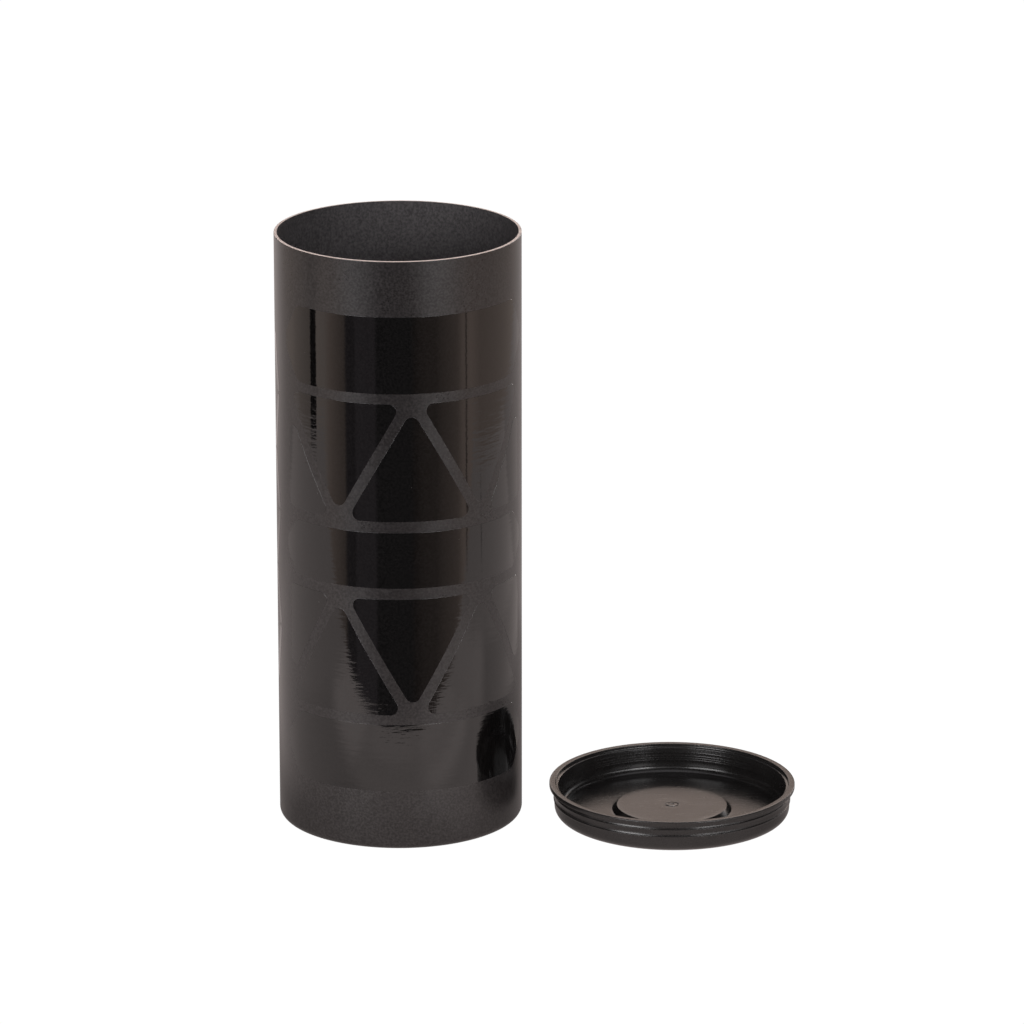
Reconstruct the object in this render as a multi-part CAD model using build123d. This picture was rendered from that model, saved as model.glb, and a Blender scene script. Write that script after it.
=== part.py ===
from build123d import *
import math
import os

os.makedirs("parts", exist_ok=True)

# An upright paper canister for a bottle, open at the top, with its moulded
# plug lid lying beside it, edge bead upwards.
# Frame: the origin is the centre of the canister's foot on the surface it
# stands on, +Z is up, the printed front faces -Y and the lid lies towards +X.
# All lengths are in millimetres.

# ---------------------------------------------------------------- dimensions
TUBE_R = 51.0          # outside radius of the tube, over the printed wrap
TUBE_H = 251.5         # height of the canister
WRAP_T = 0.2           # laminated outer paper
BOARD_T = 1.1          # wound board wall
LINER_T = 0.2          # black inner paper
BORE_R = TUBE_R - WRAP_T - BOARD_T - LINER_T    # 49.5, clear inside radius

FOOT_R = 3.0           # outer radius of the corner where the wall turns in
FOOT_LIP_R = 44.0      # inner edge of the turned-in lip it stands on

DISC_Z0 = WRAP_T + BOARD_T     # the bottom disc lies on the lip
DISC_Z1 = 2.7
DISC_GAP = 0.1         # its rounded edge clears the corner by this much
LINER_Z0 = FOOT_R      # the black inner paper ends just above the disc

LID_X = 113.8          # where the lid lies
LID_Y = -7.5
LID_H = 14.2           # height of the lid over its edge bead
LID_EDGE_R = 51.5      # outermost radius, on the edge bead
LID_EDGE_Z = 12.35     # underside of the bead at its outer edge
LID_BEAD_R = 48.85     # inner side of the raised bead
LID_LEDGE_Z = 12.9     # ledge inside the bead
LID_BORE_R = 47.67     # inside wall of the dish
LID_WALL_R = 49.45     # outside of the plug wall, a running fit in the tube
LID_SKIRT_R = 49.35    # plug wall where the bottom corner begins
LID_CORNER_R = 4.2     # outer bottom corner
LID_FILLET_R = 3.0     # inner bottom corner
LID_FLOOR_Z = 2.0      # top of the dish floor
LID_PANEL_Z = 0.6      # underside of the dish floor
LID_FOOT_R = 43.0      # inner edge of the foot ring
LID_RIB_Z = (7.05, 10.15)      # two fine sealing ribs outside
LID_RIB_R = (49.75, 49.8)      # they squeeze into the 49.5 bore
LID_LINE_Z = (7.6, 10.6)       # two fine lines inside, behind the ribs
PAD_TOP_R = 23.2       # raised centre disc of the lid
PAD_BASE_R = 25.05
PAD_TOP_Z = 4.1
PAD_WALL = 1.4
GATE_R = 2.5           # moulding gate mark at the centre of the disc
GATE_D = 0.3


# ------------------------------------------------------------------- helpers
def on_arc(cr, cz, r, deg):
    a = math.radians(deg)
    return (cr + r * math.cos(a), cz + r * math.sin(a))


def arc(cr, cz, r, a0, a1):
    """Arc in the radius-height plane about (cr, cz), from a0 to a1 degrees."""
    return ThreePointArc(on_arc(cr, cz, r, a0), on_arc(cr, cz, r, (a0 + a1) / 2),
                         on_arc(cr, cz, r, a1))


def outline(path):
    """Join points and arcs, in order, into one closed outline."""
    edges = []
    last = first = None
    for item in path:
        if isinstance(item, tuple):
            start = end = item
        else:
            s, e = item @ 0, item @ 1
            start, end = (s.X, s.Y), (e.X, e.Y)
        if last is not None and math.dist(last, start) > 1e-6:
            edges.append(Line(last, start))
        if not isinstance(item, tuple):
            edges.append(item)
        if first is None:
            first = start
        last = end
    if math.dist(last, first) > 1e-6:
        edges.append(Line(last, first))
    return edges


def turned(path):
    """Turn a closed outline, given as radius and height, about the Z axis."""
    with BuildPart() as body:
        with BuildSketch(Plane.XZ):
            with BuildLine():
                for e in outline(path):
                    add(e)
            make_face()
        revolve(axis=Axis.Z, revolution_arc=360)
    return body.part


def wall_side(depth):
    """One side of a layer of the wall, at a depth below the outer surface.

    It runs from the cut rim down the wall, round the foot corner and along the
    turned-in lip to its inner edge."""
    return [
        (TUBE_R - depth, TUBE_H),
        arc(TUBE_R - FOOT_R, FOOT_R, FOOT_R - depth, 0, -90),
        (FOOT_LIP_R, depth),
    ]


def reverse(path):
    out = []
    for item in reversed(path):
        if isinstance(item, tuple):
            out.append(item)
        else:
            s, m, e = item @ 0, item @ 0.5, item @ 1
            out.append(ThreePointArc((e.X, e.Y), (m.X, m.Y), (s.X, s.Y)))
    return out


# ---------------------------------------------------------------- the canister
# Printed wrap, glued round the foot corner and under the lip.
outer_wrap = turned(wall_side(0.0) + reverse(wall_side(WRAP_T)))

# Board wall, cut square at the rim, where its bare edge shows.
board_core = turned(wall_side(WRAP_T) + reverse(wall_side(WRAP_T + BOARD_T)))

# Black paper inside, from just above the bottom disc up to the rim.
inner_liner = turned([
    (BORE_R, LINER_Z0), (BORE_R + LINER_T, LINER_Z0),
    (BORE_R + LINER_T, TUBE_H), (BORE_R, TUBE_H),
])

# Bottom disc, lying on the lip. Its pressed edge follows the inside of the
# foot corner up to the top of the disc.
corner_r = FOOT_R - DISC_Z0 - DISC_GAP
disc_edge_deg = -math.degrees(math.asin((FOOT_R - DISC_Z1) / corner_r))
base_disc = turned([
    (0.0, DISC_Z0), (TUBE_R - FOOT_R - 0.2, DISC_Z0),
    arc(TUBE_R - FOOT_R, FOOT_R, corner_r, -85, disc_edge_deg),
    (0.0, DISC_Z1),
])


# --------------------------------------------------------------------- the lid
def rib(z, r, half=0.32):
    """A fine rounded rib on the outside of the plug wall, going upwards."""
    return [(LID_WALL_R, z - half), (r - 0.05, z - 0.14), (r, z),
            (r - 0.05, z + 0.14), (LID_WALL_R, z + half)]


def line_in(z, half=0.3, depth=0.14):
    """A fine raised line on the inside of the dish wall, going downwards."""
    return [(LID_BORE_R, z + half), (LID_BORE_R - depth, z), (LID_BORE_R, z - half)]


corner_c = LID_SKIRT_R - LID_CORNER_R
fillet_c = LID_BORE_R - LID_FILLET_R
recess_r = PAD_BASE_R - PAD_WALL
gate_pip = 0.6

lid_path = [
    # underside of the raised disc, from the axis outwards
    (0.0, PAD_TOP_Z - PAD_WALL),
    arc(PAD_TOP_R - 1.1 - 0.3, PAD_TOP_Z - PAD_WALL - 0.3, 0.3, 90, 10),
    (recess_r - 0.1, LID_PANEL_Z + 0.25),
    (recess_r + 0.2, LID_PANEL_Z),
    # underside of the floor and the foot ring
    (LID_FOOT_R - 0.5, LID_PANEL_Z),
    (LID_FOOT_R + 0.1, 0.0),
    # bottom corner and plug wall
    arc(corner_c, LID_CORNER_R, LID_CORNER_R, -90, 0),
    (LID_WALL_R, LID_RIB_Z[0] - 0.9),
    *rib(LID_RIB_Z[0], LID_RIB_R[0]),
    *rib(LID_RIB_Z[1], LID_RIB_R[1]),
    # neck under the edge bead, then its overhanging edge
    arc(LID_WALL_R + 0.40, LID_EDGE_Z - 0.52, 0.40, 180, 105),
    (LID_EDGE_R - 0.50, LID_EDGE_Z),
    arc(LID_EDGE_R - 0.30, LID_EDGE_Z + 0.34, 0.30, -60, 0),
    arc(LID_EDGE_R - 0.40, LID_H - 0.40, 0.40, 0, 90),
    # top of the bead and the step down to the ledge
    arc(LID_BEAD_R + 0.35, LID_H - 0.35, 0.35, 90, 180),
    (LID_BEAD_R - 0.10, LID_LEDGE_Z + 0.12),
    (LID_BEAD_R - 0.25, LID_LEDGE_Z),
    arc(LID_BORE_R + 0.25, LID_LEDGE_Z - 0.25, 0.25, 90, 180),
    # inside wall of the dish, its fillet and the floor
    *line_in(LID_LINE_Z[1]),
    *line_in(LID_LINE_Z[0]),
    arc(fillet_c, LID_FLOOR_Z + LID_FILLET_R, LID_FILLET_R, 0, -90),
    # raised centre disc with a drafted side, and the gate mark
    arc(PAD_BASE_R + 0.15, LID_FLOOR_Z + 0.35, 0.35, -90, -140),
    arc(PAD_TOP_R - 0.25, PAD_TOP_Z - 0.25, 0.25, 45, 90),
    (GATE_R, PAD_TOP_Z),
    (GATE_R - 0.45, PAD_TOP_Z - GATE_D),
    (gate_pip + 0.25, PAD_TOP_Z - GATE_D),
    (gate_pip, PAD_TOP_Z - 0.12),
    (0.0, PAD_TOP_Z - 0.08),
]

lid = turned(lid_path).moved(Location((LID_X, LID_Y, 0.0)))

# -------------------------------------------------------------------- exports
NODES = {
    "outer_wrap": outer_wrap,
    "board_core": board_core,
    "inner_liner": inner_liner,
    "base_disc": base_disc,
    "lid": lid,
}

for name, shape in NODES.items():
    shape.label = name
    export_step(shape, f"parts/{name}.step")
    bb = shape.bounding_box()
    print(f"{name:12s} solids {len(shape.solids())} volume {shape.volume:10.2f} "
          f"z {bb.min.Z:7.3f} to {bb.max.Z:7.3f} x {bb.min.X:7.2f} to {bb.max.X:7.2f}")
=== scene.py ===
import math
import random

import bpy
from mathutils import Matrix, Vector


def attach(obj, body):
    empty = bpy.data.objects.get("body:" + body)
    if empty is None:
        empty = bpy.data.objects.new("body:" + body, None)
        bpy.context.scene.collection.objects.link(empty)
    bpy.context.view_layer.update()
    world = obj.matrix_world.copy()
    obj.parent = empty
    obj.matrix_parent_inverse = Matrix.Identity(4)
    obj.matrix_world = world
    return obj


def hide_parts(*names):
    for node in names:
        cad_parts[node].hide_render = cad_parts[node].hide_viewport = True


# A black paper canister with its plug lid lying beside it.
# Shapes are written in millimetres as radius and height and turned into metres.
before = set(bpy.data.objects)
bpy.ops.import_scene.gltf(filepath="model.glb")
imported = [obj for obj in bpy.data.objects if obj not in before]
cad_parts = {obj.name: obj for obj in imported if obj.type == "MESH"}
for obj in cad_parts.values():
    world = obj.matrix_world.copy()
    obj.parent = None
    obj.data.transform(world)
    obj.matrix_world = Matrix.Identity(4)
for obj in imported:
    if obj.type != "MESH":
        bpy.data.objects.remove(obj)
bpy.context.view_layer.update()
MM = 0.001
rng = random.Random(71)

# ------------------------------------------------------------------ dimensions
SKIN_R = 50.91        # wrap skin; the raised varnish stands on it
GLOSS_R = 50.97
TUBE_H = 251.5
LID_X, LID_Y = 113.8, -7.5

# --------------------------------------------------------------------- camera
cam_data = bpy.data.cameras.new("camera")
cam_data.sensor_fit = "HORIZONTAL"
cam_data.sensor_width = 36.0
cam_data.lens = 230.58
cam_data.clip_start = 0.1
cam_data.clip_end = 60.0
camera = bpy.data.objects.new("camera", cam_data)
bpy.context.scene.collection.objects.link(camera)
pitch, yaw, roll = math.radians(16.865), 0.01795, 0.0008
forward = Vector((math.sin(yaw) * math.cos(pitch), math.cos(yaw) * math.cos(pitch), -math.sin(pitch)))
right = Vector((math.cos(yaw), -math.sin(yaw), 0.0))
down = forward.cross(right)
axis_x = math.cos(roll) * right + math.sin(roll) * down
axis_down = -math.sin(roll) * right + math.cos(roll) * down
turn = Matrix((axis_x, -axis_down, -forward)).transposed().to_4x4()
camera.matrix_world = Matrix.Translation(Vector((0.0, -2.60884, 0.92155))) @ turn
bpy.context.scene.camera = camera
bpy.context.scene.view_settings.view_transform = "Standard"
bpy.context.scene.view_settings.look = "None"


# --------------------------------------------------------------- mesh helpers
def arc(cr, cz, r, a0, a1, n=8, rz=None):
    """Points on an arc, or on an ellipse with a second radius rz."""
    rz = r if rz is None else rz
    out = []
    for i in range(n + 1):
        a = math.radians(a0 + (a1 - a0) * i / n)
        out.append((cr + r * math.cos(a), cz + rz * math.sin(a)))
    return out


def run(p, q, n):
    """Points from p to q, both included."""
    return [(p[0] + (q[0] - p[0]) * i / n, p[1] + (q[1] - p[1]) * i / n) for i in range(n + 1)]


def tidy(path):
    out = []
    for p in path:
        if not out or math.dist(p, out[-1]) > 1e-5:
            out.append(p)
    if math.dist(out[0], out[-1]) <= 1e-5:
        out.pop()
    return out


def link(name, mesh):
    ob = bpy.data.objects.new(name, mesh)
    bpy.context.scene.collection.objects.link(ob)
    return ob


def lathe(name, path, angles, centre=(0.0, 0.0), change=None, sharp=38.0):
    """Turn a closed outline of (radius, height) about a vertical axis.

    angles are in degrees from the front (-Y) towards +X. change(r, z, angle, k)
    may give a new radius and height for outline point k at an angle."""
    path = tidy(path)
    n, m = len(path), len(angles)
    verts, index = [], []
    for k, (r, z) in enumerate(path):
        if r < 1e-6:
            verts.append((centre[0] * MM, centre[1] * MM, z * MM))
            index.append([len(verts) - 1] * m)
            continue
        row = []
        for a in angles:
            rr, zz = change(r, z, a, k) if change else (r, z)
            t = math.radians(a)
            verts.append(((centre[0] + rr * math.sin(t)) * MM, (centre[1] - rr * math.cos(t)) * MM, zz * MM))
            row.append(len(verts) - 1)
        index.append(row)
    area = sum(path[i][0] * path[(i + 1) % n][1] - path[(i + 1) % n][0] * path[i][1] for i in range(n))
    faces = []
    for k in range(n):
        a, b = index[k], index[(k + 1) % n]
        pole_a, pole_b = path[k][0] < 1e-6, path[(k + 1) % n][0] < 1e-6
        if pole_a and pole_b:
            continue
        for j in range(m):
            j2 = (j + 1) % m
            f = [a[j], a[j2], b[j2], b[j]]
            if pole_a:
                f = [a[j], b[j2], b[j]]
            elif pole_b:
                f = [a[j], a[j2], b[j]]
            faces.append(f if area > 0 else f[::-1])
    mesh = bpy.data.meshes.new(name)
    mesh.from_pydata(verts, [], faces)
    mesh.validate()
    mesh.polygons.foreach_set("use_smooth", [True] * len(mesh.polygons))
    # edges along and across the turning, sharp where the faces meet at a real corner
    normals = [p.normal.copy() for p in mesh.polygons]
    by_edge = {}
    for p in mesh.polygons:
        for e in p.edge_keys:
            by_edge.setdefault(e, []).append(p.index)
    limit = math.cos(math.radians(sharp))
    for e in mesh.edges:
        fs = by_edge.get(tuple(sorted(e.vertices)), [])
        if len(fs) == 2 and normals[fs[0]].dot(normals[fs[1]]) < limit:
            e.use_edge_sharp = True
    mesh.update()
    return link(name, mesh)


def even(n, extra=()):
    return sorted(set([360.0 * i / n for i in range(n)] + list(extra)))


# ----------------------------------------------------------- flat print shapes
def inset(poly, d):
    """Move each side of a convex polygon inwards by d (a counter-clockwise list)."""
    n = len(poly)
    lines = []
    for i in range(n):
        (x0, y0), (x1, y1) = poly[i], poly[(i + 1) % n]
        dx, dy = x1 - x0, y1 - y0
        length = math.hypot(dx, dy)
        nx, ny = -dy / length, dx / length
        lines.append((x0 + nx * d, y0 + ny * d, dx, dy))
    out = []
    for i in range(n):
        x0, y0, dx0, dy0 = lines[i - 1]
        x1, y1, dx1, dy1 = lines[i]
        det = dx0 * dy1 - dy0 * dx1
        t = ((x1 - x0) * dy1 - (y1 - y0) * dx1) / det
        out.append((x0 + t * dx0, y0 + t * dy0))
    return out


def soften(poly, radius, step=9.0):
    """Round the corners of a convex counter-clockwise polygon."""
    n = len(poly)
    out = []
    for i in range(n):
        p0, p1, p2 = Vector(poly[i - 1]), Vector(poly[i]), Vector(poly[(i + 1) % n])
        a, b = (p0 - p1), (p2 - p1)
        la, lb = a.length, b.length
        a, b = a / la, b / lb
        half = math.acos(max(-1.0, min(1.0, a.dot(b)))) / 2
        r = min(radius, 0.45 * min(la, lb) * math.tan(half))
        t = r / math.tan(half)
        centre = p1 + (a + b).normalized() * (r / math.sin(half))
        s, e = p1 + a * t, p1 + b * t
        a0 = math.atan2(s.y - centre.y, s.x - centre.x)
        a1 = math.atan2(e.y - centre.y, e.x - centre.x)
        while a1 < a0:
            a1 += 2 * math.pi
        k = max(2, int(math.ceil(math.degrees(a1 - a0) / step)))
        for j in range(k + 1):
            q = a0 + (a1 - a0) * j / k
            out.append((centre.x + r * math.cos(q), centre.y + r * math.sin(q)))
    return out


def slice_up(poly, pitch):
    """Lowest and highest height of a polygon, one span per upright line, at its
    own corners and at every pitch."""
    us = [p[0] for p in poly]
    u0, u1 = min(us), max(us)
    k0, k1 = math.ceil(u0 / pitch), math.floor(u1 / pitch)
    cuts = sorted(us + [k * pitch for k in range(k0, k1 + 1)])
    keep = [u0]
    for u in cuts:
        if u - keep[-1] > 0.03 and u1 - u > 0.03:
            keep.append(u)
    keep.append(u1)
    rows = []
    n = len(poly)
    for u in keep:
        hits = []
        for i in range(n):
            (a, za), (b, zb) = poly[i], poly[(i + 1) % n]
            if abs(b - a) < 1e-9:
                if abs(u - a) < 1e-6:
                    hits += [za, zb]
                continue
            t = (u - a) / (b - a)
            if -1e-9 <= t <= 1 + 1e-9:
                hits.append(za + t * (zb - za))
        rows.append((u, min(hits), max(hits)))
    return rows


def raised(name, shapes, base_r, top_r, bevel, pitch=0.89):
    """Thin closed solids of print standing on the round wall, with a rounded edge."""
    verts, faces, kinds = [], [], []

    def put(u, z, r):
        t = u / GLOSS_R
        verts.append((r * math.sin(t) * MM, -r * math.cos(t) * MM, z * MM))
        return len(verts) - 1

    for poly in shapes:
        rows = slice_up(poly, pitch)
        low = [(u, lo) for u, lo, hi in rows]
        high = [(u, hi) for u, lo, hi in rows]
        point_l = abs(rows[0][2] - rows[0][1]) < 0.02
        point_r = abs(rows[-1][2] - rows[-1][1]) < 0.02
        ring = low + high[::-1]
        n = len(ring)
        count = len(rows)

        def outward(i):
            # normal of the outline at point i, from its neighbours that differ
            j, k = i - 1, i + 1
            while math.dist(ring[j % n], ring[i % n]) < 1e-3:
                j -= 1
            while math.dist(ring[k % n], ring[i % n]) < 1e-3:
                k += 1
            (x0, y0), (x1, y1) = ring[j % n], ring[k % n]
            length = math.hypot(x1 - x0, y1 - y0)
            return (y1 - y0) / length, -(x1 - x0) / length

        top, base, out = [], [], []
        for i, (u, z) in enumerate(ring):
            nx, ny = outward(i)
            out.append((nx, ny))
            top.append(put(u, z, top_r))
            base.append(put(u + nx * bevel, z + ny * bevel, base_r))
        # top and bottom, one face per upright strip
        for i in range(count - 1):
            l0, l1, h1, h0 = i, i + 1, n - 2 - i, n - 1 - i
            t = [l0, l1, h1, h0]
            if point_l and i == 0:
                t = [l0, l1, h1]
            if point_r and i == count - 2:
                t = [l0, l1, h0]
            if point_l and i == 0 and point_r and count == 2:
                continue
            faces.append([top[k] for k in t])
            kinds.append(0)
            faces.append([base[k] for k in t][::-1])
            kinds.append(1)
        # the rounded edge, all the way round
        for i in range(n):
            j = (i + 1) % n
            if (point_l and i == n - 1) or (point_r and i == count - 1):
                continue
            faces.append([base[i], base[j], top[j], top[i]])
            kinds.append(2)
        if point_l or point_r:
            # a pointed end has two copies of one point, which become one
            merge = {}
            if point_l:
                merge[top[n - 1]], merge[base[n - 1]] = top[0], base[0]
            if point_r:
                merge[top[count]], merge[base[count]] = top[count - 1], base[count - 1]
            for f in faces:
                for q in range(len(f)):
                    f[q] = merge.get(f[q], f[q])
    used = sorted({v for f in faces for v in f})
    renum = {v: i for i, v in enumerate(used)}
    verts = [verts[v] for v in used]
    faces = [[renum[v] for v in f] for f in faces]
    clean_faces, clean_kinds = [], []
    for f, kind in zip(faces, kinds):
        g = [v for i, v in enumerate(f) if v != f[i - 1]]
        if len(set(g)) >= 3:
            clean_faces.append(g)
            clean_kinds.append(kind)
    mesh = bpy.data.meshes.new(name)
    mesh.from_pydata(verts, [], clean_faces)
    mesh.polygons.foreach_set("use_smooth", [True] * len(mesh.polygons))
    mesh.update()
    normals = [None] * len(mesh.loops)
    for p in mesh.polygons:
        kind = clean_kinds[p.index]
        for li in p.loop_indices:
            co = mesh.vertices[mesh.loops[li].vertex_index].co
            radial = Vector((co.x, co.y, 0.0)).normalized()
            at_top = math.hypot(co.x, co.y) > (top_r - 0.01) * MM
            if kind == 0 or (kind == 2 and at_top):
                normals[li] = radial
            elif kind == 1:
                normals[li] = -radial
            else:
                side = p.normal - p.normal.dot(radial) * radial
                side = side.normalized() if side.length > 1e-9 else Vector((0, 0, 0))
                normals[li] = (radial * 0.55 + side * 0.83).normalized()
    mesh.normals_split_custom_set([tuple(v) for v in normals])
    return link(name, mesh)


# ------------------------------------------------------------ material helpers
class Mat:
    """A node material with a Principled shader and a few short helpers."""

    def __init__(self, name, color, rough, spec=0.5, ior=1.5):
        self.m = bpy.data.materials.new(name)
        self.m.use_nodes = True
        self.t = self.m.node_tree
        self.t.nodes.clear()
        self.out = self.t.nodes.new("ShaderNodeOutputMaterial")
        self.p = self.t.nodes.new("ShaderNodeBsdfPrincipled")
        self.t.links.new(self.p.outputs["BSDF"], self.out.inputs["Surface"])
        self.p.inputs["Base Color"].default_value = (*color, 1.0)
        self.p.inputs["Roughness"].default_value = rough
        self.p.inputs["Specular IOR Level"].default_value = spec
        self.p.inputs["IOR"].default_value = ior
        self.coord = self.t.nodes.new("ShaderNodeTexCoord").outputs["Object"]

    def put(self, kind, **sockets):
        n = self.t.nodes.new(kind)
        for key, value in sockets.items():
            self.feed(n.inputs[key.replace("_", " ")], value)
        return n

    def feed(self, socket, value):
        if isinstance(value, bpy.types.NodeSocket):
            self.t.links.new(value, socket)
        else:
            socket.default_value = value

    def stretched(self, sx, sy, sz, offset=(0.0, 0.0, 0.0)):
        n = self.t.nodes.new("ShaderNodeMapping")
        self.t.links.new(self.coord, n.inputs["Vector"])
        n.inputs["Scale"].default_value = (sx, sy, sz)
        n.inputs["Location"].default_value = offset
        return n.outputs["Vector"]

    def noise(self, vec, detail=2.0, rough=0.5, distortion=0.0):
        n = self.t.nodes.new("ShaderNodeTexNoise")
        n.noise_dimensions = "3D"
        self.t.links.new(vec, n.inputs["Vector"])
        n.inputs["Scale"].default_value = 1.0
        n.inputs["Detail"].default_value = detail
        n.inputs["Roughness"].default_value = rough
        n.inputs["Distortion"].default_value = distortion
        return n.outputs["Fac"]

    def cells(self, vec):
        """Distance to the nearest cell centre, and that cell's own colour."""
        n = self.t.nodes.new("ShaderNodeTexVoronoi")
        self.t.links.new(vec, n.inputs["Vector"])
        n.inputs["Scale"].default_value = 1.0
        return n.outputs["Distance"], n.outputs["Color"]

    def math(self, op, a, b=0.0, c=0.0):
        n = self.t.nodes.new("ShaderNodeMath")
        n.operation = op
        for socket, value in zip(n.inputs, (a, b, c)):
            self.feed(socket, value)
        return n.outputs[0]

    def span(self, value, lo, hi, out_lo, out_hi, smooth=False):
        n = self.t.nodes.new("ShaderNodeMapRange")
        n.interpolation_type = "SMOOTHSTEP" if smooth else "LINEAR"
        n.clamp = True
        self.feed(n.inputs["Value"], value)
        for key, v in (("From Min", lo), ("From Max", hi), ("To Min", out_lo), ("To Max", out_hi)):
            self.feed(n.inputs[key], v)
        return n.outputs["Result"]

    def blend(self, fac, a, b, mode="MIX"):
        n = self.t.nodes.new("ShaderNodeMix")
        n.data_type = "RGBA"
        n.blend_type = mode
        self.feed(n.inputs["Factor"], fac)
        self.feed(n.inputs[6], a if isinstance(a, bpy.types.NodeSocket) else (*a, 1.0))
        self.feed(n.inputs[7], b if isinstance(b, bpy.types.NodeSocket) else (*b, 1.0))
        return n.outputs[2]

    def bump(self, height, below=None):
        """Height in metres."""
        n = self.t.nodes.new("ShaderNodeBump")
        n.inputs["Strength"].default_value = 1.0
        n.inputs["Distance"].default_value = 1.0
        self.t.links.new(height, n.inputs["Height"])
        if below is not None:
            self.t.links.new(below, n.inputs["Normal"])
        return n.outputs["Normal"]

    def color(self, socket):
        self.t.links.new(socket, self.p.inputs["Base Color"])

    def rough(self, socket):
        self.t.links.new(socket, self.p.inputs["Roughness"])

    def normal(self, socket):
        self.t.links.new(socket, self.p.inputs["Normal"])

    def specks(self, size, share, radius, offset=(0, 0, 0)):
        """1 on small scattered dots: cells of this size, a share of them used."""
        v = self.stretched(1 / size, 1 / size, 1 / size, offset)
        dist, col = self.cells(v)
        sep = self.put("ShaderNodeSeparateColor", Color=col)
        chosen = self.math("LESS_THAN", sep.outputs[0], share)
        grow = self.math("MULTIPLY", sep.outputs[1], radius / size)
        dot = self.math("LESS_THAN", dist, grow)
        return self.math("MULTIPLY", chosen, dot)

    def give(self, ob):
        ob.data.materials.clear()
        ob.data.materials.append(self.m)


# ------------------------------------------------------------------- materials
def matt_film():
    """Matt laminated black paper: soft sheen, fine grain, flat sideways ripple."""
    a = Mat("matt_film", (0.0155, 0.0142, 0.0138), 0.47)
    grain = a.noise(a.stretched(1080, 1080, 1180), 1.5, 0.55)
    fine = a.noise(a.stretched(2600, 2600, 2600, (4.0, 2.0, 6.0)), 2.0, 0.6)
    broad = a.noise(a.stretched(38, 38, 22, (3.1, 0.4, 1.7)), 3.0, 0.55)
    ripple = a.noise(a.stretched(120, 120, 760), 3.0, 0.6)
    dust = a.specks(0.0050, 0.13, 0.00026)
    tone = a.span(broad, 0.3, 0.7, 0.0, 1.0)
    base = a.blend(tone, (0.0080, 0.0068, 0.0068), (0.0101, 0.0086, 0.0085))
    base = a.blend(a.span(grain, 0.36, 0.66, 0.0, 1.0), base, (0.0266, 0.0237, 0.0237))
    base = a.blend(a.math("MULTIPLY", dust, 0.7), base, (0.100, 0.094, 0.092))
    a.color(base)
    a.rough(a.math("ADD", a.span(grain, 0.3, 0.7, 0.280, 0.310), a.span(broad, 0.3, 0.7, -0.012, 0.012)))
    h = a.math("ADD", a.math("MULTIPLY", fine, 3e-6), a.math("MULTIPLY", ripple, 9e-6))
    h = a.math("ADD", h, a.math("MULTIPLY", grain, 8.0e-6))
    a.normal(a.bump(h))
    return a


def gloss_film():
    """Gloss varnish: near mirror, with the sideways ripple of a printed film."""
    a = Mat("gloss_varnish", (0.0032, 0.0029, 0.0029), 0.05, ior=1.6)
    ripple = a.noise(a.stretched(70, 70, 560), 2.0, 0.5)
    streak = a.noise(a.stretched(330, 330, 1150, (0.7, 5.2, 0.3)), 2.0, 0.5)
    wave = a.noise(a.stretched(24, 24, 40, (1.3, 2.2, 0.9)), 1.0, 0.5)
    grain = a.noise(a.stretched(1100, 1100, 1100, (6.0, 1.0, 3.0)), 1.5, 0.55)
    dust = a.specks(0.0048, 0.10, 0.00022, (11.0, 4.0, 2.0))
    base = a.blend(a.span(grain, 0.35, 0.65, 0.0, 1.0), (0.0020, 0.0018, 0.0018), (0.0052, 0.0047, 0.0047))
    a.color(a.blend(a.math("MULTIPLY", dust, 0.7), base, (0.11, 0.105, 0.10)))
    a.rough(a.math("ADD", a.span(wave, 0.35, 0.65, 0.035, 0.065), a.math("MULTIPLY", dust, 0.4)))
    h = a.math("MULTIPLY", ripple, 3.6e-5)
    h = a.math("ADD", h, a.math("MULTIPLY", streak, 1.6e-5))
    h = a.math("ADD", h, a.math("MULTIPLY", wave, 3.0e-5))
    a.normal(a.bump(h))
    return a


def cut_board():
    """Bare cut board: pale, pinkish brown, layered and fibrous."""
    a = Mat("cut_board", (0.52, 0.45, 0.41), 0.85, spec=0.25)
    fibre = a.noise(a.stretched(900, 900, 900), 4.0, 0.65)
    patch = a.noise(a.stretched(160, 160, 160, (2.0, 7.0, 1.0)), 2.0, 0.5)
    fleck = a.specks(0.0016, 0.22, 0.00030, (5.0, 1.0, 9.0))
    base = a.blend(a.span(fibre, 0.3, 0.7, 0.0, 1.0), (0.66, 0.535, 0.480), (0.90, 0.775, 0.715))
    base = a.blend(a.span(patch, 0.45, 0.75, 0.0, 0.40), base, (0.58, 0.45, 0.39))
    base = a.blend(a.math("MULTIPLY", fleck, 0.5), base, (0.26, 0.19, 0.165))
    a.color(base)
    a.rough(a.span(fibre, 0.3, 0.7, 0.78, 0.95))
    a.normal(a.bump(a.math("MULTIPLY", fibre, 7e-5)))
    return a


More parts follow.
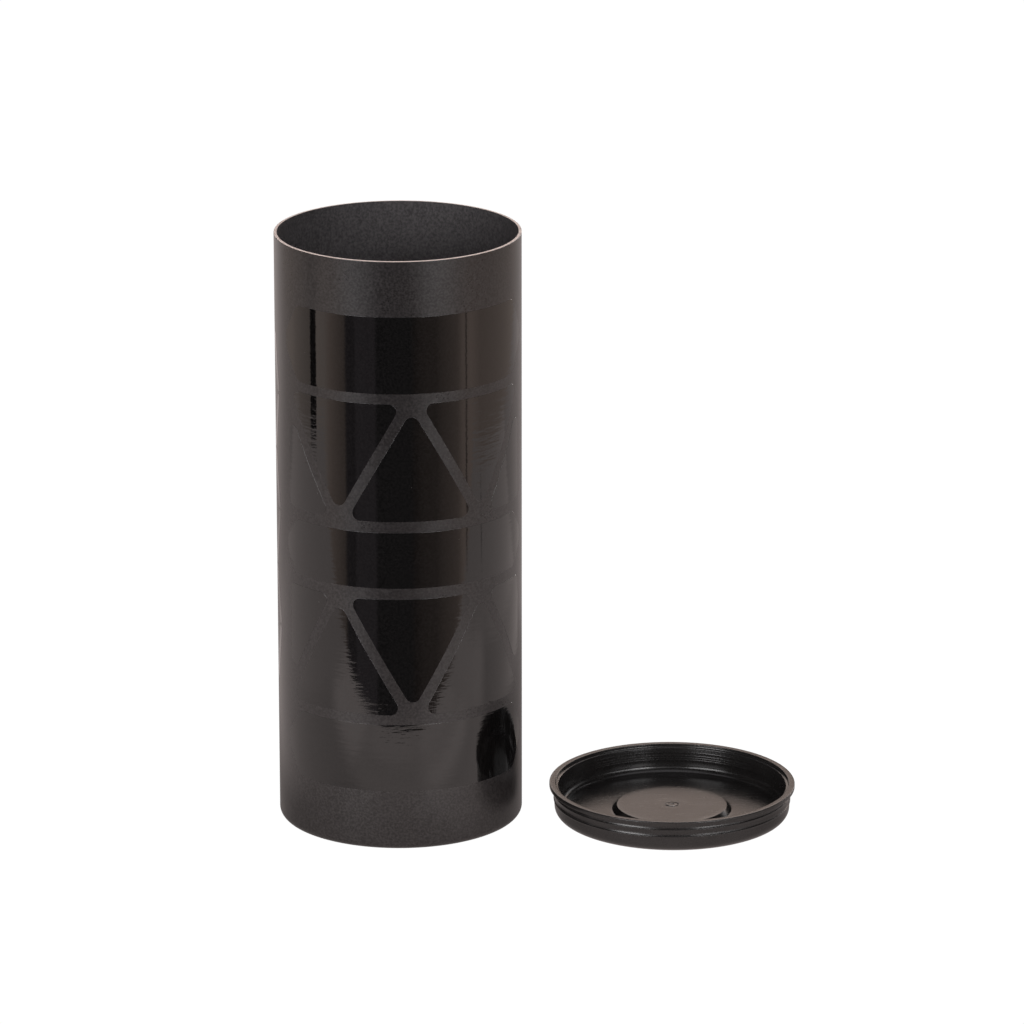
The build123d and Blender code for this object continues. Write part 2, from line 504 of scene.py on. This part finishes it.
def inner_paper():
    """Plain uncoated black paper: dull, slightly mottled, a few pale specks."""
    a = Mat("inner_paper", (0.030, 0.0275, 0.0285), 0.72, spec=0.4)
    mottle = a.noise(a.stretched(210, 210, 150), 3.0, 0.6)
    grain = a.noise(a.stretched(1050, 1050, 900, (1, 2, 3)), 2.0, 0.6)
    dust = a.specks(0.0062, 0.16, 0.00032, (2.0, 8.0, 5.0))
    base = a.blend(a.span(mottle, 0.3, 0.7, 0.0, 1.0), (0.0200, 0.0182, 0.0190), (0.0300, 0.0274, 0.0286))
    base = a.blend(a.span(grain, 0.36, 0.66, 0.0, 0.9), base, (0.066, 0.060, 0.062))
    base = a.blend(a.math("MULTIPLY", dust, 0.6), base, (0.115, 0.108, 0.106))
    a.color(base)
    a.rough(a.span(grain, 0.3, 0.7, 0.66, 0.78))
    h = a.math("ADD", a.math("MULTIPLY", grain, 2.2e-5), a.math("MULTIPLY", mottle, 4.0e-5))
    a.normal(a.bump(h))
    return a


def lid_plastic():
    """Black moulded polyethylene: satin, faint mottling, small scuffs and specks."""
    a = Mat("lid_plastic", (0.0150, 0.0138, 0.0135), 0.36, ior=1.43)
    cloud = a.noise(a.stretched(85, 85, 85), 2.0, 0.5)
    grain = a.noise(a.stretched(1150, 1150, 1150), 1.5, 0.5)
    dust = a.specks(0.0052, 0.17, 0.00032, (9.0, 3.0, 6.0))
    base = a.blend(a.span(cloud, 0.3, 0.7, 0.0, 1.0), (0.0085, 0.0078, 0.0076), (0.0125, 0.0114, 0.0111))
    base = a.blend(a.span(grain, 0.36, 0.66, 0.0, 0.35), base, (0.0200, 0.0184, 0.0180))
    base = a.blend(a.math("MULTIPLY", dust, 0.6), base, (0.100, 0.095, 0.092))
    # a lighter halo round the gate mark, and thin scratches
    place = a.put("ShaderNodeSeparateXYZ", Vector=a.coord)
    dx = a.math("SUBTRACT", place.outputs[0], LID_X * MM)
    dy = a.math("SUBTRACT", place.outputs[1], LID_Y * MM)
    away = a.math("SQRT", a.math("ADD", a.math("MULTIPLY", dx, dx), a.math("MULTIPLY", dy, dy)))
    halo = a.math("MULTIPLY", a.span(away, 0.0028, 0.0040, 0.0, 1.0), a.span(away, 0.0045, 0.0080, 1.0, 0.0, smooth=True))
    base = a.blend(a.math("MULTIPLY", halo, 0.5), base, (0.034, 0.031, 0.030))
    a.color(base)
    lane = a.noise(a.stretched(90, 420, 200, (4.0, 1.0, 2.0)), 0.0, 0.4, 0.9)
    scratch = a.math("LESS_THAN", a.math("ABSOLUTE", a.math("SUBTRACT", lane, 0.66)), 0.003)
    a.rough(a.math("ADD", a.math("ADD", a.span(cloud, 0.3, 0.7, 0.205, 0.230), a.span(grain, 0.3, 0.7, -0.008, 0.008)), a.math("MULTIPLY", scratch, 0.08)))
    h = a.math("ADD", a.math("MULTIPLY", grain, 1.2e-6), a.math("MULTIPLY", cloud, 7e-6))
    a.normal(a.bump(h))
    return a


def disc_paper():
    """Black paper face of the bottom disc."""
    a = Mat("disc_paper", (0.030, 0.028, 0.028), 0.8, spec=0.35)
    mottle = a.noise(a.stretched(140, 140, 140), 3.0, 0.6)
    grain = a.noise(a.stretched(1300, 1300, 1300), 3.0, 0.6)
    a.color(a.blend(a.span(mottle, 0.3, 0.7, 0.0, 1.0), (0.026, 0.024, 0.024), (0.038, 0.035, 0.035)))
    a.rough(a.span(grain, 0.3, 0.7, 0.72, 0.86))
    a.normal(a.bump(a.math("MULTIPLY", grain, 3e-5)))
    return a


# ----------------------------------------------------------------- the canister
SEAM = 171.0           # the lap of the wrap, at the back
LAP = 11.0             # width of the lap in degrees


def wrap_lap(r, z, angle, k):
    """The wrap laps over itself at the back, so it stands a little higher there."""
    if r < 50.83 or z < 4.0:
        return r, z
    d = SEAM - angle
    if d < 0.0:
        return r, z
    rise = 0.05 if d < LAP else 0.05 * max(0.0, 1.0 - (d - LAP) / 4.0)
    return r + rise, z


# The cut rim slopes down outwards a little, as a trimming knife leaves it.
RIM_DROP = 0.09
wrap_path = (
    [(50.80, TUBE_H - RIM_DROP - 0.01), (50.85, TUBE_H - RIM_DROP - 0.01),
     (50.89, TUBE_H - RIM_DROP - 0.05), (SKIN_R, TUBE_H - RIM_DROP - 0.13)]
    + run((SKIN_R, TUBE_H - RIM_DROP - 0.2), (SKIN_R, 3.0), 24)
    + arc(48.0, 3.0, SKIN_R - 48.0, 0, -90, 14, rz=3.0)
    + run((48.0, 0.0), (44.05, 0.0), 3)
    + [(44.0, 0.05), (44.0, 0.2)]
    + arc(48.0, 3.0, 2.8, -90, 0, 10)
)
wrap = lathe("printed_wrap", wrap_path, even(384, (SEAM - LAP - 4, SEAM - LAP, SEAM, SEAM + 0.02)), change=wrap_lap)

# The cut end of the board is slightly uneven.
rim_noise = {}


def rough_rim(r, z, angle, k):
    if z > TUBE_H - 0.3 and 49.75 < r < 50.75:
        key = (k, round(angle, 3))
        if key not in rim_noise:
            rim_noise[key] = -abs(rng.gauss(0.0, 0.022))
        return r, z + rim_noise[key]
    return r, z


board_path = (
    [(50.80, TUBE_H - RIM_DROP), (50.80, 3.0)]
    + arc(48.0, 3.0, 2.8, 0, -90, 10)
    + [(44.0, 0.2), (44.0, 1.3)]
    + arc(48.0, 3.0, 1.7, -90, 0, 8)
    + [(49.70, TUBE_H)]
    + run((49.78, TUBE_H - 0.01), (50.72, TUBE_H - RIM_DROP + 0.01), 8)
)
board = lathe("board_wall", board_path, even(720), change=rough_rim)

# The liner laps too.
LINER_SEAM = 118.0


def liner_lap(r, z, angle, k):
    if r > 49.6 or z < 3.5:
        return r, z
    d = (angle - LINER_SEAM) % 360.0
    if d < 8.0:
        return r + 0.06, z
    if d < 11.0:
        return r + 0.06 * (11.0 - d) / 3.0, z
    return r, z


liner_path = (
    [(49.70, 3.0), (49.70, TUBE_H), (49.58, TUBE_H), (49.52, TUBE_H - 0.05), (49.50, TUBE_H - 0.15)]
    + run((49.50, TUBE_H - 0.3), (49.50, 3.0), 20)
)
liner = lathe("inner_liner_paper", liner_path,
              even(360, (LINER_SEAM - 0.02, LINER_SEAM, LINER_SEAM + 8, LINER_SEAM + 11)), change=liner_lap)

disc_path = (
    [(0.0, 1.3), (47.8, 1.3)]
    + arc(48.0, 3.0, 1.6, -85, -10.8, 8)
    + [(49.52, 2.7), (46.0, 2.7), (30.0, 2.7), (15.0, 2.7), (0.0, 2.7)]
)
disc = lathe("bottom_disc", disc_path, even(240))

# ---------------------------------------------------------------------- the lid
RIBS = ((7.05, 49.75), (10.15, 49.80))
lid_path = [(0.0, 2.7), (10.0, 2.7)]
lid_path += arc(21.80, 2.4, 0.3, 90, 10, 4)
lid_path += [(23.55, 0.85), (23.85, 0.6), (34.0, 0.6), (42.5, 0.6), (43.1, 0.0)]
lid_path += arc(45.15, 4.2, 4.2, -90, 0, 16)
lid_path += run((49.35, 4.2), (49.45, 6.2), 2)
for z, r in RIBS:
    lid_path += [(49.45, z - 0.34), (49.50, z - 0.26), (r - 0.10, z - 0.19), (r - 0.03, z - 0.10),
                 (r, z), (r - 0.03, z + 0.10), (r - 0.10, z + 0.19), (49.50, z + 0.26), (49.45, z + 0.34)]
lid_path += arc(49.85, 11.83, 0.40, 180, 105, 6)
lid_path += [(50.40, 12.30), (50.95, 12.35)]
lid_path += arc(51.20, 12.69, 0.30, -65, 0, 5)
lid_path += arc(51.10, 13.80, 0.40, 0, 90, 6)
lid_path += [(50.50, 14.20), (49.70, 14.20)]
lid_path += arc(49.20, 13.85, 0.35, 90, 180, 6)
lid_path += [(48.80, 13.25), (48.75, 13.02), (48.70, 12.93), (48.60, 12.90)]
lid_path += arc(48.09, 12.48, 0.42, 90, 180, 7)
for z in (10.7, 9.3, 8.3, 7.4):
    lid_path += [(47.67, z + 0.26), (47.625, z + 0.12), (47.60, z), (47.625, z - 0.12), (47.67, z - 0.26)]
lid_path += arc(44.67, 5.0, 3.0, 0, -90, 14)
lid_path += [(42.0, 2.0), (36.0, 2.0), (30.0, 2.0), (26.5, 2.0)]
lid_path += arc(25.20, 2.35, 0.35, -90, -140, 4)
lid_path += arc(22.95, 3.85, 0.25, 45, 90, 4)
lid_path += [(20.0, 4.10), (14.0, 4.10), (8.0, 4.10), (6.2, 4.085), (5.0, 4.06), (3.6, 4.085), (3.05, 4.10), (2.98, 4.08)]
lid_path += [(2.86, 3.88), (2.74, 3.84), (2.62, 3.88), (2.52, 4.16), (2.42, 4.20), (1.2, 4.20), (1.05, 4.18), (0.85, 4.02), (0.6, 4.0), (0.0, 4.0)]
lid = lathe("plug_lid", lid_path, even(420), centre=(LID_X, LID_Y), sharp=42.0)

# ------------------------------------------------------ raised gloss print, front
# A plain frieze of bands and triangles.
U0, U1 = -57.0, 67.4
GAP = 4.55
UM = (U0 + U1) / 2
STEP = (U1 - U0) / 4


def ribbon(z0, z1, point):
    """A band with blunt pointed ends."""
    zm = (z0 + z1) / 2
    return [(U0 + point, z0), (U1 - point, z0), (U1, zm - 3), (U1, zm + 3), (U1 - point, z1), (U0 + point, z1),
            (U0, zm + 3), (U0, zm - 3)]


def triangles(z0, z1, up_first):
    """A row of triangles between two heights, points up and down in turn."""
    us = [U0 + STEP * i for i in range(5)]
    shapes = []
    lo, hi = (z0, z1) if up_first else (z1, z0)
    # the zigzag runs hi, lo, hi, lo, hi
    raw = [
        [(us[0], hi), (us[1], lo), (us[2], hi)],
        [(us[1], lo), (us[2], hi), (us[3], lo)],
        [(us[2], hi), (us[3], lo), (us[4], hi)],
        [(us[0], hi), (us[1], lo), (us[0], lo)],
        [(us[4], hi), (us[3], lo), (us[4], lo)],
    ]
    for t in raw:
        area = sum(t[i][0] * t[(i + 1) % 3][1] - t[(i + 1) % 3][0] * t[i][1] for i in range(3))
        t = t if area > 0 else t[::-1]
        # only the sloping sides give up the gap, so the row keeps its height
        slim = inset(t, GAP / 2)
        slim = [(u, min(max(z, z0), z1)) for u, z in slim]
        shapes.append(slim)
    return shapes


front_shapes = [soften(ribbon(196.0, 228.2, 9.0), 5.0)]
front_shapes += [soften(t, 3.2) for t in triangles(139.6, 194.0, True)]
front_shapes += [soften(ribbon(113.4, 137.1, 8.0), 5.0)]
front_shapes += [soften(t, 3.2) for t in triangles(56.5, 110.9, False)]
front_shapes += [soften(ribbon(25.7, 54.5, 9.0), 5.0)]
front_print = raised("gloss_print_front", front_shapes, SKIN_R - 0.02, GLOSS_R, 0.06)

# A narrow zigzag of long strokes on the left side.
side_shapes = []
for i in range(6):
    z = 62.0 + i * 25.0
    u_a, u_b, w = -75.5, -65.5, 3.4
    stroke = [(u_a, z), (u_a + w, z), (u_b, z + 23.6), (u_b - w, z + 23.6)]
    if i % 2:
        stroke = [(u_b - w, z), (u_b, z), (u_a + w, z + 23.6), (u_a, z + 23.6)]
    side_shapes.append(soften(stroke, 1.2))
side_print = raised("gloss_print_side", side_shapes, SKIN_R - 0.02, SKIN_R + 0.035, 0.08)

# ----------------------------------------------------------- finishes and frame
film, varnish, cut = matt_film(), gloss_film(), cut_board()
paper, plastic, facing = inner_paper(), lid_plastic(), disc_paper()
for ob, mat, body, node, slot in (
    (wrap, film, "tube", "outer_wrap", "wrap_paper"),
    (board, cut, "tube", "board_core", "board"),
    (liner, paper, "tube", "inner_liner", "liner_paper"),
    (disc, facing, "tube", "base_disc", "disc_board"),
    (lid, plastic, "lid", "lid", "lid_plastic"),
    (front_print, varnish, "tube", None, None),
    (side_print, varnish, "tube", None, None),
):
    mat.give(ob)
    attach(ob, body)
    if node:
        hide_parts(node)

# ------------------------------------------------------------------ the studio
TABLE = (-0.64, -0.207, 0.62, 3.2)      # x0, y0, x1, y1 of the white table top
WARM = (1.10, 0.968, 0.935)
# levels of the table's own light: x0, y0, x1, y1, level, later ones on top. The lower levels round, under and behind
# the tube and lid are painted shade.
TABLE_LIGHT = [
    (-1.0, -1.0, -0.22, 0.25, 0.70),
    (0.30, -1.0, 1.0, 0.25, 0.685),
    (-0.22, -0.12, -0.09, 0.25, 0.63),
    (0.19, -0.06, 0.30, 0.25, 0.565),
    (-0.22, -1.0, -0.09, -0.12, 1.02),
    (0.19, -1.0, 0.30, -0.06, 0.88),
    (-0.09, -1.0, 0.04, -0.15, 0.90),
    (0.04, -1.0, 0.19, -0.15, 0.97),
    (-0.09, -0.15, 0.04, -0.10, 0.80),
    (0.04, -0.15, 0.19, -0.10, 1.05),
    (-0.09, -0.10, 0.04, -0.04, 0.50),
    (0.04, -0.10, 0.19, -0.04, 0.79),
    (-0.09, -0.04, 0.19, 0.25, 0.307),
]


class Graph:
    """A few short helpers for the floor's and the room's own nodes."""

    def __init__(self, tree):
        self.t = tree
        self.t.nodes.clear()

    def node(self, kind, **sockets):
        n = self.t.nodes.new(kind)
        for key, value in sockets.items():
            self.feed(n.inputs[key.replace("_", " ")], value)
        return n

    def feed(self, socket, value):
        if isinstance(value, bpy.types.NodeSocket):
            self.t.links.new(value, socket)
        else:
            socket.default_value = value

    def math(self, op, a, b=0.0):
        n = self.t.nodes.new("ShaderNodeMath")
        n.operation = op
        self.feed(n.inputs[0], a)
        self.feed(n.inputs[1], b)
        return n.outputs[0]

    def step(self, value, lo, hi, out_lo=0.0, out_hi=1.0):
        n = self.node("ShaderNodeMapRange", Value=value)
        n.interpolation_type = "SMOOTHSTEP"
        for key, v in (("From Min", lo), ("From Max", hi), ("To Min", out_lo), ("To Max", out_hi)):
            n.inputs[key].default_value = v
        return n.outputs["Result"]

    def ramp(self, fac, stops):
        n = self.t.nodes.new("ShaderNodeValToRGB")
        e = n.color_ramp.elements
        while len(e) > 1:
            e.remove(e[-1])
        e[0].position, e[0].color = stops[0][0], (*stops[0][1], 1.0)
        for pos, col in stops[1:]:
            k = e.new(pos)
            k.color = (*col, 1.0)
        self.t.links.new(fac, n.inputs["Fac"])
        return n.outputs["Color"]

    def mix(self, fac, a, b):
        n = self.t.nodes.new("ShaderNodeMix")
        n.data_type = "RGBA"
        n.clamp_result = False
        self.feed(n.inputs["Factor"], fac)
        self.t.links.new(a, n.inputs[6])
        self.t.links.new(b, n.inputs[7])
        return n.outputs[2]


def glowing_floor(name, level=None):
    """A pale floor that glows rather than being lit: the camera sees it plain white, and other rays see its own
    light. Without a given level, that light is painted darker close round the tube and towards the lid, a painted
    shade like the one on a lit table top with things standing on it."""
    m = bpy.data.materials.new(name)
    m.use_nodes = True
    g = Graph(m.node_tree)
    out = g.node("ShaderNodeOutputMaterial")
    lit = g.node("ShaderNodeEmission", Color=(*WARM, 1.0))
    if level is None:
        place = g.node("ShaderNodeSeparateXYZ", Vector=g.node("ShaderNodeTexCoord").outputs["Object"])
        x, y = place.outputs["X"], place.outputs["Y"]

        def grey(v):
            n = g.node("ShaderNodeRGB")
            n.outputs[0].default_value = (v, v, v, 1.0)
            return n.outputs[0]

        def within(value, lo, hi, soft=0.024):
            return g.math("MULTIPLY", g.step(value, lo - soft, lo + soft), g.step(value, hi - soft, hi + soft, 1.0, 0.0))

        glow = grey(0.62)
        for x0, y0, x1, y1, v in TABLE_LIGHT:
            glow = g.mix(g.math("MULTIPLY", within(x, x0, x1), within(y, y0, y1)), glow, grey(v))
        glow = g.mix(g.step(y, 0.235, 0.265), glow, grey(0.51))
        glow = g.mix(g.math("MULTIPLY", g.step(y, 0.30, 0.60), g.step(x, -0.10, -0.20)), glow, grey(0.70))
        # a thin dark line on the right of the table, mirrored in the varnish
        off = g.math("ABSOLUTE", g.math("ADD", g.math("MULTIPLY", x, 0.1908), g.math("MULTIPLY", y, 0.9816)))
        line = g.math("MULTIPLY", g.step(off, 0.0018, 0.0032, 1.0, 0.0),
                      g.math("MULTIPLY", g.step(x, 0.43, 0.435), g.step(x, 0.555, 0.56, 1.0, 0.0)))
        glow = g.mix(line, glow, grey(0.05))
        both = g.t.nodes.new("ShaderNodeMix")
        both.data_type = "RGBA"
        both.blend_type = "MULTIPLY"
        both.inputs["Factor"].default_value = 1.0
        g.t.links.new(glow, both.inputs[6])
        both.inputs[7].default_value = (*WARM, 1.0)
        g.t.links.new(both.outputs[2], lit.inputs["Color"])
    else:
        lit.inputs["Color"].default_value = (1.0, 0.93, 1.05, 1.0)
        lit.inputs["Strength"].default_value = level
    seen = g.node("ShaderNodeEmission", Color=(1.0, 1.0, 1.0, 1.0), Strength=1.02)
    pick = g.node("ShaderNodeMixShader")
    path = g.node("ShaderNodeLightPath")
    g.t.links.new(path.outputs["Is Camera Ray"], pick.inputs[0])
    g.t.links.new(lit.outputs[0], pick.inputs[1])
    g.t.links.new(seen.outputs[0], pick.inputs[2])
    g.t.links.new(pick.outputs[0], out.inputs["Surface"])
    return m


def sheet_of(name, rects, material):
    verts, faces = [], []
    for x0, y0, x1, y1 in rects:
        k = len(verts)
        verts += [(x0, y0, 0.0), (x1, y0, 0.0), (x1, y1, 0.0), (x0, y1, 0.0)]
        faces.append((k, k + 1, k + 2, k + 3))
    mesh = bpy.data.meshes.new(name)
    mesh.from_pydata(verts, [], faces)
    mesh.materials.append(material)
    ob = link(name, mesh)
    return ob


x0, y0, x1, y1 = TABLE
FAR = 9.0
table_top = sheet_of("floor_table", [TABLE], glowing_floor("table_glow"))
floor_rest = sheet_of(
    "floor_rest",
    [(-FAR, -FAR, FAR, y0), (-FAR, y0, x0, y1), (x1, y0, FAR, y1), (-FAR, y1, FAR, FAR)],
    glowing_floor("floor_glow", 0.34),
)
floor_rest.visible_glossy = False

# The room: dark in front of the table, with light panels round it.
world = bpy.data.worlds.new("room")
bpy.context.scene.world = world
world.use_nodes = True
g = Graph(world.node_tree)
direction = g.node("ShaderNodeTexCoord").outputs["Generated"]
parts = g.node("ShaderNodeSeparateXYZ", Vector=direction)
around = g.math("ARCTAN2", parts.outputs["X"], g.math("MULTIPLY", parts.outputs["Y"], -1.0))
around = g.math("ADD", g.math("DIVIDE", around, 2 * math.pi), 0.5)
up = parts.outputs["Z"]


def at(deg):
    return (deg + 180.0) / 360.0


def tinted(level, tint):
    return tuple(level * t / FULL for t in tint)


FULL = 40.0                              # the ramps hold levels up to this
EVEN = (1.0, 0.985, 0.99)
BROWN = (1.22, 0.955, 0.83)
WARMER = (1.16, 0.97, 0.87)
ROSE = (1.06, 0.93, 1.01)


def bins(rows, blur=1.5):
    """Stops for panels round the room. Each row is (start, level, tint), and its
    panel runs up to the start of the next one."""
    stops = [(at(rows[0][0]), tinted(rows[0][1], rows[0][2]))]
    for (_, v0, t0), (a1, v1, t1) in zip(rows, rows[1:]):
        stops.append((at(a1 - blur / 2), tinted(v0, t0)))
        stops.append((at(a1 + blur / 2), tinted(v1, t1)))
    stops.append((at(180.0), tinted(rows[-1][1], rows[-1][2])))
    return stops


def curve(rows):
    return [(at(a), tinted(v, t)) for a, v, t in rows]


# below the horizon, where only mirrored rays get past the table
left_to_right = curve([
    (-180, 1.8, EVEN), (-160, 1.3, EVEN), (-135, 0.45, WARMER), (-118, 0.60, WARMER), (-100, 0.50, WARMER), (-90, 0.45, WARMER),
    (-84, 0.74, WARMER), (-73, 0.71, WARMER), (-67.5, 0.56, BROWN), (-62.5, 0.46, BROWN), (-57.5, 0.37, BROWN),
    (-53.2, 0.30, BROWN), (-51.4, 0.25, BROWN), (-50.0, 0.085, ROSE), (-42, 0.075, ROSE), (-40.3, 0.145, ROSE), (-21.8, 0.135, ROSE),
    (-20.6, 0.042, EVEN), (11, 0.045, EVEN), (14.6, 0.055, BROWN), (19.5, 0.095, BROWN), (27, 0.125, BROWN),
    (35, 0.14, BROWN), (41, 0.22, BROWN), (50, 0.30, BROWN), (57, 0.38, BROWN), (62, 0.62, BROWN), (71, 0.70, BROWN),
    (82, 0.50, BROWN), (145, 0.45, WARMER), (160, 1.6, EVEN), (180, 1.8, EVEN),
])
below = g.ramp(around, left_to_right)
turned = g.math("SUBTRACT", g.math("MULTIPLY", around, 360.0), 180.0)
# one dark upright stands at the left, and a thinner one at the right
bar = g.step(g.math("ABSOLUTE", g.math("ADD", turned, 86.6)), 3.4, 3.9)
pole = g.step(g.math("ABSOLUTE", g.math("SUBTRACT", turned, 66.0)), 0.5, 0.9, 0.25, 1.0)
dark = g.math("MULTIPLY", bar, pole)
shade = g.t.nodes.new("ShaderNodeMix")
shade.data_type = "RGBA"
shade.blend_type = "MULTIPLY"
shade.inputs["Factor"].default_value = 1.0
g.t.links.new(below, shade.inputs[6])
g.t.links.new(dark, shade.inputs[7])
below = shade.outputs[2]
far_edge = g.ramp(around, curve([
    (-180, 1.4, WARMER), (-165.7, 1.4, WARMER), (-164.3, 0.0, EVEN), (-110, 0.0, EVEN), (-100, 1.36, EVEN), (-76, 1.36, EVEN), (-72, 0.8, EVEN),
    (-62, 0.8, EVEN), (-56, 4.4, EVEN), (-48, 9.8, EVEN), (-40, 8.2, EVEN), (-33, 5.0, EVEN), (-28.7, 4.2, EVEN), (-27.3, 0.0, EVEN),
    (14.3, 0.0, EVEN), (18.5, 2.83, EVEN), (25.5, 11.2, EVEN), (32.5, 15.6, EVEN), (39.5, 11.6, EVEN), (48, 9.6, EVEN), (55, 5.9, EVEN),
    (60, 2.5, EVEN), (62, 0.4, EVEN), (90, 0.8, EVEN), (120, 1.7, EVEN), (134.3, 1.7, EVEN), (135.7, 14.9, EVEN), (149.3, 14.9, EVEN),
    (150.7, 7.2, WARMER), (164.3, 7.2, WARMER), (165.7, 2.5, WARMER), (180, 2.5, WARMER)]))
low_band = g.ramp(around, bins([
    (-180, 0.0, EVEN), (-60, 3.9, EVEN), (-52.5, 10.2, EVEN), (-45, 8.2, EVEN), (-37.5, 8.9, EVEN), (-30, 1.9, EVEN),
    (-22.5, 0.0, EVEN), (22.5, 1.8, EVEN), (30, 0.0, EVEN), (37.5, 0.9, EVEN), (45, 0.0, EVEN), (52.5, 0.9, EVEN), (60, 1.7, EVEN), (67.5, 0.0, EVEN)]))
mid_band = g.ramp(around, bins([
    (-180, 1.4, WARMER), (-160, 0.0, EVEN), (-60, 6.0, EVEN), (-40, 8.5, EVEN), (-20, 0.7, EVEN), (0, 1.5, EVEN),
    (20, 12.1, EVEN), (40, 4.3, EVEN), (60, 0.1, EVEN), (80, 0.0, EVEN), (100, 0.7, EVEN), (120, 1.7, EVEN), (140, 3.2, WARMER), (160, 0.56, BROWN)]))
high_band = g.ramp(around, bins([
    (-180, 0.6, EVEN), (-160, 0.0, EVEN), (20, 0.96, EVEN), (40, 0.0, EVEN), (160, 2.6, WARMER)]))
upper = g.ramp(around, bins([(-180, 0.3, EVEN), (-135, 0.0, EVEN), (135, 2.0, EVEN)]))
top = g.node("ShaderNodeRGB")
top.outputs[0].default_value = (0.925 / FULL, 0.90 / FULL, 0.935 / FULL, 1.0)
room = g.mix(g.step(up, -0.125, -0.090), below, far_edge)
room = g.mix(g.step(up, -0.01, 0.01), room, low_band)
room = g.mix(g.step(up, 0.195, 0.221), room, mid_band)
room = g.mix(g.step(up, 0.395, 0.419), room, high_band)
room = g.mix(g.step(up, 0.63, 0.656), room, upper)
room = g.mix(g.step(up, 0.855, 0.877), room, top.outputs[0])
room_light = g.node("ShaderNodeBackground", Color=room, Strength=FULL)
plain = g.node("ShaderNodeBackground", Color=(1.0, 1.0, 1.0, 1.0), Strength=1.02)
path_info = g.node("ShaderNodeLightPath")
pick = g.node("ShaderNodeMixShader")
g.t.links.new(path_info.outputs["Is Camera Ray"], pick.inputs[0])
g.t.links.new(room_light.outputs[0], pick.inputs[1])
g.t.links.new(plain.outputs[0], pick.inputs[2])
wout = g.node("ShaderNodeOutputWorld")
g.t.links.new(pick.outputs[0], wout.inputs["Surface"])
